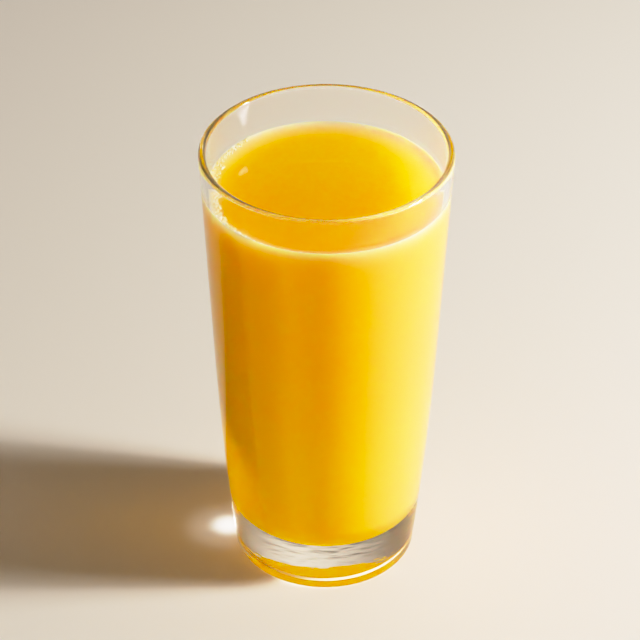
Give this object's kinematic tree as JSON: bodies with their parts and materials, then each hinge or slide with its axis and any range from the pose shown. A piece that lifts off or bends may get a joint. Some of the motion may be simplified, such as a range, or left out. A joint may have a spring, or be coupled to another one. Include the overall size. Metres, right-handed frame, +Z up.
{
  "type": "glass of orange juice",
  "caption": "Tall tapered drinking glass with a thick clear base, filled near the lip with cloudy orange juice and a crescent of froth.",
  "frame": {"origin": "centre of the standing ring under the base, in the plane that the glass rests on", "axes": "+Z up along the axis of the glass; -Y towards the viewer of the picture; the froth lies on the -X side"},
  "size_m": [0.0758, 0.0758, 0.148],
  "materials": {
    "clear_glass": "polished",
    "orange_juice": "wet, cloudy liquid"
  },
  "bodies": {
    "root": {"glass": "clear_glass", "orange_juice": "orange_juice"}
  },
  "joints": []
}
